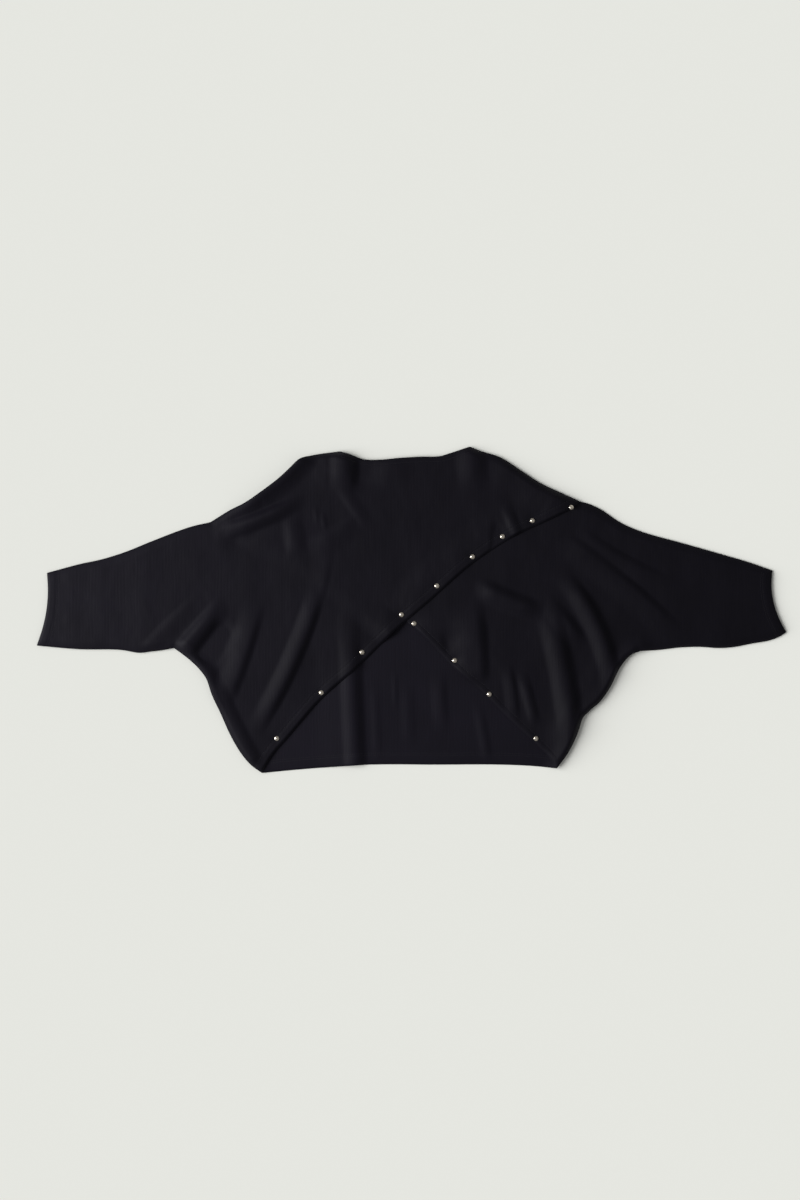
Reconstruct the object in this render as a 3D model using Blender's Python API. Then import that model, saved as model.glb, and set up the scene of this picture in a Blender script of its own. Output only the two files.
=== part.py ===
"""A long-sleeved wrap sweater of fine black jersey, laid out flat on its back.

X runs along the sleeves, Y from the hem to the neck and Z up from the surface it lies on. The
origin is on that surface, under the middle of the outline. The tables are in millimetres, and the
meshes are made in metres.

Three panels are cut and sewn: a back and two fronts, each with its half of the sleeves cut in one
with the body. Both fronts end in a bare edge that crosses from a shoulder to the other hem corner,
and a row of domed studs runs along each bare edge.
"""

import math
from collections import namedtuple

import bmesh
import bpy
import numpy as np
from mathutils import Matrix, Vector
from mathutils.bvhtree import BVHTree

MM = 0.001
ABOVE_ALL = 0.5

# The cloth.
WALL = 1.6
SEAM_GAP = 0.3
BACK_NECK_DROP = 5.0
UNDER_INSET = 5.0
UNDER_INSET_ENDS_X = (252.0, 286.0)

# How far the air inside lifts each front off what it lies on, and the least that it does.
WRAP_PUFF = 3.0
UNDER_PUFF = 4.5
LEAST_LIFT = 0.2

# The under front lies flat well inside the wrap that covers it, and rises towards the wrap's edge.
UNDER_RISE_INSIDE_WRAP = 64.0
UNDER_RISE_REACH = 50.0
# The wrap comes down again past the hidden edge of the under front.
WRAP_FLAT_PAST_UNDER = 28.0
WRAP_FALL_PAST_UNDER = 30.0

ROWS = 20
ROW_CROWDING = 0.7
LINE_STEPS = 12

# The studs.
STUD_RADIUS = 4.0
STUD_RIM = 0.7
STUD_DOME = 2.0
STUD_SIDES = 12
STUD_RINGS = 3

# The outline, stretch by stretch from left to right, as points (x, y).
LEFT_UNDERARM = ((-629, -60), (-557, -66), (-490, -67), (-456, -72), (-439, -70), (-422, -68),
                 (-399, -64))
LEFT_SIDE = ((-399, -64), (-372, -86), (-354, -104), (-342, -120), (-337, -139), (-305, -209),
             (-288, -238), (-271, -259), (-251, -274))
HEM = ((-251, -274), (-187, -268), (-120, -263), (-70, -260), (40, -260), (149, -260), (199, -262),
       (244, -266))
RIGHT_SIDE = ((244, -266), (266, -234), (282, -200), (288, -186), (298, -172), (317, -153),
              (333, -130), (349, -98), (366, -78), (384, -70))
RIGHT_UNDERARM = ((384, -70), (417, -67), (451, -63), (484, -62), (518, -64), (544, -61), (569, -56),
                  (602, -50), (629, -38))
LEFT_SLEEVE_TOP = ((-612, 61), (-590, 67), (-556, 76), (-523, 83), (-481, 96), (-439, 113), (-372, 138),
                   (-338, 146))
LEFT_SHOULDER = ((-338, 146), (-305, 166), (-279, 179), (-254, 196), (-220, 222), (-203, 236),
                 (-187, 251), (-168, 257), (-120, 264))
NECKLINE = ((-120, 264), (-103, 259), (-82, 252), (-53, 252), (-20, 255), (14, 256), (48, 257),
            (65, 262), (98, 273))
RIGHT_SHOULDER = ((98, 273), (115, 266), (149, 255), (182, 234), (216, 212), (250, 196), (283, 181))
RIGHT_SLEEVE_TOP = ((283, 181), (300, 175), (317, 167), (350, 146), (384, 131), (451, 112),
                    (518, 93), (569, 78), (606, 65))
# The bare edges of the two fronts. The under front's is hidden by the wrap left of x = 0.
WRAP_EDGE = ((-251, -273), (-234, -244), (-212, -219), (-154, -152), (-92, -97), (-28, -35),
             (31, 16), (98, 75), (169, 122), (233, 152), (272, 171))
UNDER_EDGE = ((-272, 160), (-244, 144), (-181, 112), (-110, 65), (-43, 6), (3, -29), (51, -76),
              (83, -109), (118, -137), (143, -162), (170, -189), (194, -211), (216, -232),
              (232, -249), (244, -266))

OUTLINE_TOP = (LEFT_SLEEVE_TOP, LEFT_SHOULDER, NECKLINE, RIGHT_SHOULDER, RIGHT_SLEEVE_TOP)
BACK_BOTTOM = (LEFT_UNDERARM, LEFT_SIDE, HEM, RIGHT_SIDE, RIGHT_UNDERARM)
WRAP_BOTTOM = (LEFT_UNDERARM, LEFT_SIDE, WRAP_EDGE)
UNDER_BOTTOM = (UNDER_EDGE, RIGHT_SIDE, RIGHT_UNDERARM)

# Sections across a panel, from left to right. Each runs from its bottom edge at low_x to its top
# edge at high_x, bowed sideways by bow, with this many columns of cloth up to the next section.
Section = namedtuple("Section", "place low_x high_x bow columns")
LEFT_SECTIONS = (
    Section("left cuff", -629, -612, 8, 2),
    Section("left cuff seam", -605, -590, 6, 10),
    Section("left armpit", -399, -338, 0, 13),
    Section("left hem corner", -251, -205, 0, 10),
    Section("left of the hem ridge", -132, -132, 0, 9),
)
RIGHT_SECTIONS = (
    Section("right of the middle", 205, 205, 0, 4),
    Section("right hem corner", 244, 224, 0, 15),
    Section("right armpit", 384, 334, 0, 16),
    Section("right cuff seam", 604, 584, -7, 2),
    Section("right cuff", 629, 606, -10, 0),
)
BACK_SECTIONS = LEFT_SECTIONS + (Section("right of the hem ridge", -60, -60, 0, 12),) + RIGHT_SECTIONS
WRAP_SECTIONS = LEFT_SECTIONS + (
    Section("right of the hem ridge", -60, -60, 0, 8),
    Section("right neck", 60, 60, 0, 8),
    Section("right shoulder", 140, 140, 0, 13),
    Section("wrap's end", 272, 283, 0, 0),
)
UNDER_SECTIONS = (
    Section("under front's end", -272, -262, 0, 6),
    Section("left neck", -132, -132, 0, 7),
    Section("where the edges cross", 5, 5, 0, 15),
) + RIGHT_SECTIONS

# Folds run downwards from start to end, bowed to the right by bow. They are height high, reach
# left_width and right_width to either side, and fade in and out over these shares of their length.
Fold = namedtuple("Fold", "name start end bow height left_width right_width fade_in fade_out")
BACK_FOLDS = (
    Fold("hem ridge", (-110, 24), (-96, -285), 0, 6.0, 28, 20, 0.5, 0.01),
)
WRAP_FOLDS = (
    Fold("shoulder tuck", (-178, 188), (-342, 122), 7, 7.0, 14, 22, 0.4, 0.2),
    Fold("left neck ridge", (-115, 275), (-116, 184), 0, 7.0, 24, 20, 0.02, 0.6),
    Fold("hollow by the neck", (-72, 262), (-86, 190), 0, -4.0, 20, 30, 0.2, 0.4),
    Fold("left neck thread", (-128, 215), (-66, 127), 0, 1.6, 14, 18, 0.35, 0.4),
    Fold("right neck ridge", (101, 285), (106, 188), 0, 5.5, 32, 28, 0.02, 0.6),
    Fold("short pleat", (-203, 164), (-192, 84), 0, 3.0, 20, 22, 0.4, 0.35),
    Fold("long fold", (-137, 120), (-269, -217), 19, 6.4, 28, 17, 0.5, 0.3),
    Fold("second fold", (-257, 8), (-313, -154), 4, 5.4, 30, 17, 0.4, 0.25),
    Fold("armpit ridge", (-315, 18), (-392, -71), 2, 6.4, 17, 19, 0.45, 0.12),
    Fold("armpit hollow", (-314, -9), (-366, -83), 0, -4.2, 16, 34, 0.3, 0.2),
    Fold("hollow down the side", (-331, -50), (-320, -124), 0, -4.0, 17, 17, 0.35, 0.3),
    Fold("sleeve ridge", (-346, 29), (-439, -72), -3, 2.0, 14, 16, 0.5, 0.3),
    Fold("side roll", (-330, -112), (-258, -262), -5, 3.5, 17, 17, 0.3, 0.1),
    Fold("edge hollow", (147, 158), (140, 92), 0, -2.5, 14, 20, 0.4, 0.1),
    Fold("edge ripple", (154, 182), (181, 116), 0, 3.2, 14, 14, 0.5, 0.05),
)
UNDER_FOLDS = (
    Fold("outer side fold", (247, 68), (342, -146), 21, 8.0, 29, 17, 0.3, 0.2),
    Fold("inner side fold", (226, 18), (274, -232), 6, 8.2, 28, 23, 0.25, 0.3),
    Fold("side swell", (348, -58), (248, -240), 0, 2.5, 36, 44, 0.3, 0.25),
    Fold("cross fold", (106, 47), (224, -2), -3, 6.0, 20, 15, 0.3, 0.3),
    Fold("middle ridge", (106, 20), (119, -128), 2, 4.8, 32, 17, 0.35, 0.2),
    Fold("edge ripple", (183, -98), (210, -200), 0, 3.0, 14, 14, 0.4, 0.3),
    Fold("inner edge ripple", (160, -84), (176, -192), 2, 3.0, 18, 13, 0.4, 0.3),
    Fold("long sleeve fold", (250, 126), (458, -46), 6, 4.6, 24, 16, 0.2, 0.3),
    Fold("upper sleeve fold", (276, 136), (450, 40), -8, 3.5, 20, 15, 0.3, 0.4),
    Fold("hollow by the crossing", (54, -28), (68, -78), 0, -4.0, 15, 45, 0.5, 0.5),
)

# How a front comes down to an edge: over reach, keeping this share of its lift at the edge.
Fall = namedtuple("Fall", "edge reach kept")
# How the back turns up at a folded side: by height, over reach.
Curl = namedtuple("Curl", "edge height reach")

# Where the studs stand, as points (x, y), from left to right.
WRAP_STUDS = ((-226.4, -216.6), (-151.6, -139.7), (-83.2, -71.8), (-16.8, -8.6), (42.6, 39.7),
              (102.2, 88.6), (152.5, 122.5), (202.7, 149.2), (266.2, 173.2))
UNDER_STUDS = ((4.2, -23.5), (72.5, -85.5), (130.5, -142.3), (209.0, -216.7))

# Colours are linear, as the shader reads them.
JERSEY_COLOUR = (0.0103, 0.0096, 0.0130, 1.0)
STUD_COLOUR = (0.66, 0.62, 0.55, 1.0)


def smooth(value):
    """0 below 0 and 1 above 1, with an even rise between."""
    value = np.clip(value, 0.0, 1.0)
    return value * value * (3.0 - 2.0 * value)


def rounded(value):
    """0 below 0 and 1 above 1, rising steeply at first, like the side of a rolled edge."""
    return np.sin(0.5 * math.pi * np.clip(value, 0.0, 1.0))


def stretch_y(points, x):
    """The y of one stretch of an edge at x, on an even curve through its points."""
    point_x, point_y = np.array(points, float).T
    step = np.diff(point_x)
    rise = np.diff(point_y) / step
    slope = np.concatenate([rise[:1], (rise[1:] + rise[:-1]) / 2, rise[-1:]])
    i = np.clip(np.searchsorted(point_x, x, side="right") - 1, 0, len(step) - 1)
    t = (x - point_x[i]) / step[i]
    from_left = (1 + 2 * t) * point_y[i] + t * step[i] * slope[i]
    from_right = (3 - 2 * t) * point_y[i + 1] + (t - 1) * step[i] * slope[i + 1]
    return (1 - t) ** 2 * from_left + t ** 2 * from_right


def edge_y(stretches, x):
    """The y of an edge made of stretches, at each x."""
    x = np.asarray(x, float)
    y = stretch_y(stretches[0], x)
    for stretch in stretches[1:]:
        y = np.where(x >= stretch[0][0], stretch_y(stretch, x), y)
    return y


def edge_line(stretch):
    """A stretch of an edge as a line of many short steps."""
    point_x = [point[0] for point in stretch]
    x = np.linspace(point_x[0], point_x[-1], LINE_STEPS * (len(point_x) - 1) + 1)
    return np.stack([x, stretch_y(stretch, x)], axis=1)


def distance(x, y, line):
    """How far each place is from a line of points."""
    nearest = np.full(np.shape(x), np.inf)
    for start, end in zip(line[:-1], line[1:]):
        run = end - start
        along = ((x - start[0]) * run[0] + (y - start[1]) * run[1]) / (run @ run)
        along = np.clip(along, 0.0, 1.0)
        away = np.hypot(x - start[0] - along * run[0], y - start[1] - along * run[1])
        nearest = np.minimum(nearest, away)
    return nearest


def fold_height(fold, x, y):
    """How far one fold raises each place."""
    run_x = fold.end[0] - fold.start[0]
    run_y = fold.end[1] - fold.start[1]
    length = math.hypot(run_x, run_y)
    from_x = x - fold.start[0]
    from_y = y - fold.start[1]
    along = (from_x * run_x + from_y * run_y) / length ** 2
    across = (from_y * run_x - from_x * run_y) / length
    across = across - 4.0 * fold.bow * along * (1.0 - along)
    width = np.where(across > 0.0, fold.right_width, fold.left_width)
    profile = np.clip(1.0 - (across / width) ** 2, 0.0, 1.0) ** 2
    ends = smooth(along / fold.fade_in) * smooth((1.0 - along) / fold.fade_out)
    return fold.height * profile * ends


def fall_to_edges(falls, x, y):
    """The share of its lift that a front keeps at each place."""
    kept = np.ones(np.shape(x))
    for fall in falls:
        away = distance(x, y, fall.edge)
        kept = kept * (fall.kept + (1.0 - fall.kept) * rounded(away / fall.reach))
    return kept


def front_lift(puff, folds, falls, x, y):
    """How far a front stands off what it lies on."""
    lift = np.full(np.shape(x), puff)
    for fold in folds:
        lift = lift + fold_height(fold, x, y)
    return np.maximum(lift, 0.0) * fall_to_edges(falls, x, y)


def wall_top(x, y, low):
    """The upper face of a wall over a grid of points whose underside is low, WALL thick square
    to its slope."""
    rows = np.stack([np.gradient(part, axis=0) for part in (x, y, low)], axis=-1)
    columns = np.stack([np.gradient(part, axis=1) for part in (x, y, low)], axis=-1)
    out = np.cross(columns, rows)
    return low + WALL * np.linalg.norm(out, axis=-1) / out[..., 2]


def cuff_line(section):
    """The bowed edge of a cuff."""
    share = np.linspace(0.0, 1.0, LINE_STEPS + 1)
    low_y = edge_y(BACK_BOTTOM, section.low_x)
    high_y = edge_y(OUTLINE_TOP, section.high_x)
    x = section.low_x + share * (section.high_x - section.low_x)
    x = x + 4.0 * section.bow * share * (1.0 - share)
    return np.stack([x, low_y + share * (high_y - low_y)], axis=1)


WRAP_END_LINE = np.array([(272.0, 171.0), (283.0, 181.0)])
WRAP_BARE_LINE = np.concatenate([edge_line(WRAP_EDGE), WRAP_END_LINE[1:]])
UNDER_BARE_LINE = np.concatenate([[(-262.0, 186.0)], edge_line(UNDER_EDGE)])

WRAP_FALLS = (
    Fall(cuff_line(LEFT_SECTIONS[0]), 18, 0.4),
    Fall(edge_line(LEFT_UNDERARM), 15, 0.0),
    Fall(edge_line(LEFT_SIDE), 9, 0.0),
    Fall(edge_line(LEFT_SLEEVE_TOP), 15, 0.0),
    Fall(edge_line(LEFT_SHOULDER), 10, 0.0),
    Fall(edge_line(NECKLINE), 14, 0.35),
    Fall(edge_line(RIGHT_SHOULDER), 16, 0.0),
    Fall(WRAP_BARE_LINE, 16, 0.05),
)
UNDER_FALLS = (
    Fall(cuff_line(RIGHT_SECTIONS[-1]), 18, 0.4),
    Fall(edge_line(RIGHT_UNDERARM), 15, 0.0),
    Fall(edge_line(RIGHT_SIDE), 9, 0.0),
    Fall(edge_line(RIGHT_SLEEVE_TOP), 15, 0.0),
    Fall(edge_line(RIGHT_SHOULDER), 16, 0.0),
    Fall(UNDER_BARE_LINE, 16, 0.05),
)
BACK_CURLS = (
    Curl(edge_line(RIGHT_SIDE), 6.0, 28),
    Curl(edge_line(LEFT_SIDE[:5]), 6.5, 26),
    Curl(edge_line(LEFT_SIDE[4:]), 3.0, 19),
    Curl(edge_line(LEFT_SHOULDER[2:7]), 4.0, 36),
)


def back_underside(x, y):
    """Flat on the surface but for the hem ridge, and for the sides and a shoulder, which turn up."""
    height = np.zeros(np.shape(x))
    for fold in BACK_FOLDS:
        height = height + fold_height(fold, x, y)
    turned_up = np.zeros(np.shape(x))
    for curl in BACK_CURLS:
        away = distance(x, y, curl.edge) / curl.reach
        turned_up = np.maximum(turned_up, curl.height * (1.0 - rounded(away)))
    return height + turned_up


def under_underside(x, y):
    """The under front's inner face: on the back, and flat well inside the wrap."""
    past_wrap = distance(x, y, WRAP_BARE_LINE)
    covered = (y > edge_y((WRAP_EDGE,), x)) & (x < WRAP_END_LINE[1][0])
    past_wrap = np.where(covered, -past_wrap, past_wrap)
    shown = smooth((past_wrap + UNDER_RISE_INSIDE_WRAP) / UNDER_RISE_REACH)
    lift = front_lift(UNDER_PUFF, UNDER_FOLDS, UNDER_FALLS, x, y) * shown
    return wall_top(x, y, back_underside(x, y)) + SEAM_GAP + lift


def wrap_underside(x, y):
    """The wrap's inner face: on the under front where that is, and on the back elsewhere."""
    past_under = distance(x, y, UNDER_BARE_LINE)
    above_under = (y > edge_y((UNDER_EDGE,), x)) & (x > UNDER_BARE_LINE[0][0])
    past_under = np.where(above_under, 0.0, past_under)
    carried = 1.0 - smooth((past_under - WRAP_FLAT_PAST_UNDER) / WRAP_FALL_PAST_UNDER)
    on_back = wall_top(x, y, back_underside(x, y))
    on_under = wall_top(x, y, under_underside(x, y))
    lift = front_lift(WRAP_PUFF, WRAP_FOLDS, WRAP_FALLS, x, y)
    return on_back + carried * (on_under - on_back) + SEAM_GAP + np.maximum(lift, LEAST_LIFT)


def back_top_edge(x):
    """The outline's top, lower at the neck, where the back shows nothing above the front."""
    neck_left, neck_right = NECKLINE[0][0], NECKLINE[-1][0]
    into_neck = np.minimum(x - neck_left, neck_right - x)
    return edge_y(OUTLINE_TOP, x) - BACK_NECK_DROP * smooth(into_neck / 12.0 + 1.0)


def under_top_edge(x):
    """The outline's top, lower where the wrap covers it."""
    start, end = UNDER_INSET_ENDS_X
    return edge_y(OUTLINE_TOP, x) - UNDER_INSET * (1.0 - smooth((x - start) / (end - start)))


def wrap_top_edge(x):
    return edge_y(OUTLINE_TOP, x)


def panel_grid(sections, bottom, top_edge):
    """A panel's points as two arrays, x and y, of rows by columns."""
    low_x, high_x, bow = [], [], []
    for section, after in zip(sections[:-1], sections[1:]):
        share = np.arange(section.columns) / section.columns
        low_x.extend(section.low_x + share * (after.low_x - section.low_x))
        high_x.extend(section.high_x + share * (after.high_x - section.high_x))
        bow.extend(section.bow + share * (after.bow - section.bow))
    low_x = np.array(low_x + [sections[-1].low_x])
    high_x = np.array(high_x + [sections[-1].high_x])
    bow = np.array(bow + [sections[-1].bow])
    low_y = edge_y(bottom, low_x)
    high_y = top_edge(high_x)
    even = np.linspace(0.0, 1.0, ROWS + 1)
    crowded = 0.5 - 0.5 * np.cos(math.pi * even)
    share = (even + ROW_CROWDING * (crowded - even))[:, None]
    x = low_x + share * (high_x - low_x) + 4.0 * bow * share * (1.0 - share)
    y = low_y + share * (high_y - low_y)
    return x, y


def finish_object(name, shape, material):
    """Turns a bmesh into a named object with its material."""
    bmesh.ops.recalc_face_normals(shape, faces=shape.faces)
    mesh = bpy.data.meshes.new(name)
    shape.to_mesh(mesh)
    shape.free()
    mesh.shade_smooth()
    mesh.set_sharp_from_angle(angle=math.radians(50.0))
    mesh.materials.append(material)
    part = bpy.data.objects.new(name, mesh)
    bpy.context.scene.collection.objects.link(part)
    return part


def make_panel(name, x, y, underside, material):
    """A closed wall of cloth: a sheet on its underside, extruded to its upper face."""
    last_row, last_column = x.shape[0] - 1, x.shape[1] - 1
    low = underside(x, y)
    high = wall_top(x, y, low)
    sheet = bmesh.new()
    bmesh.ops.create_grid(sheet, x_segments=last_column, y_segments=last_row, size=0.5)
    rise = {}
    for vert in sheet.verts:
        column = round((vert.co.x + 0.5) * last_column)
        row = round((vert.co.y + 0.5) * last_row)
        vert.co = Vector((x[row, column], y[row, column], low[row, column])) * MM
        rise[tuple(vert.co)] = (high[row, column] - low[row, column]) * MM
    bmesh.ops.triangulate(sheet, faces=sheet.faces[:])
    upper = bmesh.ops.extrude_face_region(sheet, geom=sheet.faces[:])["geom"]
    for vert in upper:
        if isinstance(vert, bmesh.types.BMVert):
            vert.co.z += rise[tuple(vert.co)]
    return finish_object(name, sheet, material)


def cloth_below(cloth, x, y, height_if_none):
    """The point of a panel's upper face at x, y in metres."""
    hit = cloth.ray_cast(Vector((x, y, ABOVE_ALL)), Vector((0.0, 0.0, -1.0)))[0]
    return hit if hit else Vector((x, y, height_if_none))


def stud_seat(cloth, x, y):
    """The middle and the direction of a stud's seat: the plane of the cloth around it, raised
    just clear of every point of cloth under its rim."""
    middle = cloth_below(cloth, x * MM, y * MM, 0.0)
    around = []
    for side in range(STUD_SIDES):
        angle = 2.0 * math.pi * side / STUD_SIDES
        rim_x = (x + STUD_RADIUS * math.cos(angle)) * MM
        rim_y = (y + STUD_RADIUS * math.sin(angle)) * MM
        around.append(cloth_below(cloth, rim_x, rim_y, middle.z))
    quarter = STUD_SIDES // 4
    out = (around[0] - around[2 * quarter]).cross(around[quarter] - around[3 * quarter])
    out.normalize()
    clearance = max(0.0, max((point - middle).dot(out) for point in around))
    return middle + out * (clearance + SEAM_GAP * MM), out


def make_stud(name, cloth, x, y, material):
    """A domed cap, seated on the upper face of a panel and square to it."""
    profile = [Vector((0.0, 0.0, 0.0)), Vector((STUD_RADIUS, 0.0, 0.0))]
    for ring in range(STUD_RINGS):
        angle = 0.5 * math.pi * ring / STUD_RINGS
        height = STUD_RIM + STUD_DOME * math.sin(angle)
        profile.append(Vector((STUD_RADIUS * math.cos(angle), 0.0, height)))
    profile.append(Vector((0.0, 0.0, STUD_RIM + STUD_DOME)))
    cap = bmesh.new()
    verts = [cap.verts.new(point * MM) for point in profile]
    edges = [cap.edges.new(pair) for pair in zip(verts[:-1], verts[1:])]
    bmesh.ops.spin(
        cap, geom=verts + edges, axis=(0, 0, 1), cent=(0, 0, 0),
        angle=2.0 * math.pi, steps=STUD_SIDES, use_merge=True,
    )
    bmesh.ops.remove_doubles(cap, verts=cap.verts, dist=0.01 * MM)
    seat, out = stud_seat(cloth, x, y)
    turn = out.to_track_quat("Z", "Y").to_matrix().to_4x4()
    bmesh.ops.transform(cap, matrix=Matrix.Translation(seat) @ turn, verts=cap.verts)
    return finish_object(name, cap, material)


def make_studs(prefix, panel, places, material):
    """One stud at each place on a panel, numbered from left to right."""
    points = [vert.co for vert in panel.data.vertices]
    faces = [tuple(face.vertices) for face in panel.data.polygons]
    cloth = BVHTree.FromPolygons(points, faces)
    for number, (x, y) in enumerate(places, start=1):
        make_stud(f"{prefix}_{number}", cloth, x, y, material)


def make_material(name, colour, roughness, metallic):
    material = bpy.data.materials.new(name)
    material.use_nodes = True
    shader = material.node_tree.nodes["Principled BSDF"]
    shader.inputs["Base Color"].default_value = colour
    shader.inputs["Roughness"].default_value = roughness
    shader.inputs["Metallic"].default_value = metallic
    material.diffuse_color = colour
    return material


def clear_scene():
    for item in list(bpy.data.objects):
        bpy.data.objects.remove(item, do_unlink=True)


def main():
    clear_scene()
    back_jersey = make_material("back jersey", JERSEY_COLOUR, 0.9, 0.0)
    wrap_jersey = make_material("front wrap jersey", JERSEY_COLOUR, 0.9, 0.0)
    under_jersey = make_material("front under jersey", JERSEY_COLOUR, 0.9, 0.0)
    stud_metal = make_material("pale polished metal", STUD_COLOUR, 0.25, 1.0)
    x, y = panel_grid(BACK_SECTIONS, BACK_BOTTOM, back_top_edge)
    make_panel("back", x, y, back_underside, back_jersey)
    x, y = panel_grid(UNDER_SECTIONS, UNDER_BOTTOM, under_top_edge)
    front_under = make_panel("front_under", x, y, under_underside, under_jersey)
    x, y = panel_grid(WRAP_SECTIONS, WRAP_BOTTOM, wrap_top_edge)
    front_wrap = make_panel("front_wrap", x, y, wrap_underside, wrap_jersey)
    make_studs("wrap_stud", front_wrap, WRAP_STUDS, stud_metal)
    make_studs("under_stud", front_under, UNDER_STUDS, stud_metal)


main()
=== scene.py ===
import math
from collections import namedtuple

import bmesh
import bpy
import numpy as np
from bpy.props import FloatProperty, FloatVectorProperty, IntProperty, PointerProperty
from mathutils import Matrix, Vector, noise
from mathutils.bvhtree import BVHTree


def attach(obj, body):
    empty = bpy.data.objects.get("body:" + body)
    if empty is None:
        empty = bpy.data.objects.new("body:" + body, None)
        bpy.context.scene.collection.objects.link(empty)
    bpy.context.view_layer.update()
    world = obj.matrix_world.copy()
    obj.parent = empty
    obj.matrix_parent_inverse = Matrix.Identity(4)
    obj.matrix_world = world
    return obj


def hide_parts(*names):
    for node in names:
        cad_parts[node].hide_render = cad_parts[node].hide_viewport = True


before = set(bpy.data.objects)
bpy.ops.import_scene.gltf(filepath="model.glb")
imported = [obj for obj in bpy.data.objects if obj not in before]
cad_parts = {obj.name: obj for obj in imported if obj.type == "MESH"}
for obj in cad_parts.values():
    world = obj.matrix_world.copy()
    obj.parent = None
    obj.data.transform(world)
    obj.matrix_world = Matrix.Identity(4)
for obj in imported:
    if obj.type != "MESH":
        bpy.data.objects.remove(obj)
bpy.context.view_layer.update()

bl_info = {
    "name": "Wrap sweater",
    "version": (1, 0, 0),
    "blender": (4, 5, 0),
    "location": "3D View > Sidebar > Sweater",
    "description": "Builds a wrap sweater of black jersey, laid out flat, around its packed frame",
    "category": "Object",
}

# The shape tables are in millimetres: X runs along the sleeves and Y from the hem to the neck. The
# meshes are made in metres, and so are the settings.
MM = 0.001
# A height in metres that every ray down to the cloth starts from.
ABOVE_ALL = 0.5
# Steps of an edge's line between two of its points, and how much a panel's rows crowd at its edges.
LINE_STEPS = 4
ROW_CROWDING = 0.6
# The back is hidden but for one triangle, so its cells are wider and its rows fewer.
BACK_CELL_SHARE = 1.2
BACK_ROWS_LESS = 6
# A panel's rim bulges outwards, and its upper face rolls down to it by a share of the wall.
RIM_BULGE = 0.8
RIM_CUTS = 3
ROLL_DROP = 0.7
ROLL_REACH = 3.2

# The outline, stretch by stretch from left to right, as points (x, y).
LEFT_UNDERARM = ((-629, -60), (-557, -66), (-490, -67), (-456, -72), (-439, -70), (-422, -68),
                 (-399, -64))
LEFT_SIDE = ((-399, -64), (-385, -74), (-371, -85), (-353, -103), (-342, -120), (-336, -139),
             (-320, -174), (-305, -208), (-288, -238), (-271, -259), (-251, -274))
HEM = ((-251, -274), (-187, -268), (-120, -263), (-70, -260), (40, -260), (149, -260), (199, -262),
       (244, -266))
RIGHT_SIDE = ((244, -266), (266, -234), (281, -200), (285, -186), (297, -171), (317, -153),
              (333, -130), (349, -98), (366, -77), (384, -69))
RIGHT_UNDERARM = ((384, -69), (417, -67), (451, -63), (484, -62), (518, -64), (544, -62), (569, -57),
                  (602, -51), (616, -46), (629, -38))
LEFT_SLEEVE_TOP = ((-612, 61), (-590, 67), (-556, 76), (-523, 83), (-481, 96), (-439, 113),
                   (-372, 138), (-338, 146))
LEFT_SHOULDER = ((-338, 146), (-305, 166), (-279, 179), (-254, 196), (-220, 222), (-204, 237),
                 (-188, 252), (-168, 258), (-120, 265))
NECKLINE = ((-120, 265), (-103, 260), (-82, 252), (-53, 251), (-20, 254), (14, 256), (48, 257),
            (65, 262), (98, 273))
RIGHT_SHOULDER = ((98, 273), (115, 266), (149, 255), (182, 234), (216, 212), (250, 196), (283, 181))
RIGHT_SLEEVE_TOP = ((283, 181), (300, 176), (317, 168), (350, 146), (384, 131), (451, 112),
                    (518, 93), (569, 78), (606, 65))
# The bare edges of the two fronts. The under front's is hidden by the wrap left of x = 0.
WRAP_EDGE = ((-251, -273), (-234, -244), (-212, -219), (-154, -152), (-92, -97), (-28, -35),
             (31, 16), (98, 75), (169, 122), (233, 152), (272, 171))
UNDER_EDGE = ((-272, 160), (-244, 144), (-181, 112), (-110, 65), (-43, 6), (3, -29), (51, -76),
              (83, -109), (118, -137), (143, -162), (170, -189), (194, -211), (216, -232),
              (232, -249), (244, -266))

OUTLINE_TOP = (LEFT_SLEEVE_TOP, LEFT_SHOULDER, NECKLINE, RIGHT_SHOULDER, RIGHT_SLEEVE_TOP)
BACK_BOTTOM = (LEFT_UNDERARM, LEFT_SIDE, HEM, RIGHT_SIDE, RIGHT_UNDERARM)
WRAP_BOTTOM = (LEFT_UNDERARM, LEFT_SIDE, WRAP_EDGE)
UNDER_BOTTOM = (UNDER_EDGE, RIGHT_SIDE, RIGHT_UNDERARM)

# Sections across a panel, from left to right. Each runs from its bottom edge at low_x to its top
# edge at high_x, bowed sideways by bow.
Section = namedtuple("Section", "low_x high_x bow")
LEFT_SECTIONS = (
    Section(-629, -612, 8),
    Section(-605, -590, 6),
    Section(-399, -338, 0),
    Section(-251, -205, 0),
    Section(-132, -132, 0),
)
RIGHT_SECTIONS = (
    Section(205, 205, 0),
    Section(244, 224, 0),
    Section(384, 334, 0),
    Section(604, 584, -7),
    Section(629, 606, -10),
)
BACK_SECTIONS = LEFT_SECTIONS + RIGHT_SECTIONS
WRAP_SECTIONS = LEFT_SECTIONS + (Section(60, 60, 0), Section(140, 140, 0), Section(272, 283, 0))
UNDER_SECTIONS = (Section(-272, -262, 0), Section(-132, -132, 0), Section(5, 5, 0)) + RIGHT_SECTIONS

# The back shows nothing above the front at the neck, nor the under front where the wrap covers it.
BACK_NECK_DROP = 5.0
BACK_NECK_DROP_REACH = 12.0
UNDER_INSET = 5.0
UNDER_INSET_ENDS_X = (252.0, 286.0)
UNDER_RISE_INSIDE_WRAP = 64.0
UNDER_RISE_REACH = 50.0
WRAP_FLAT_PAST_UNDER = 28.0
WRAP_FALL_PAST_UNDER = 30.0
LEAST_LIFT = 0.15

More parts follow.
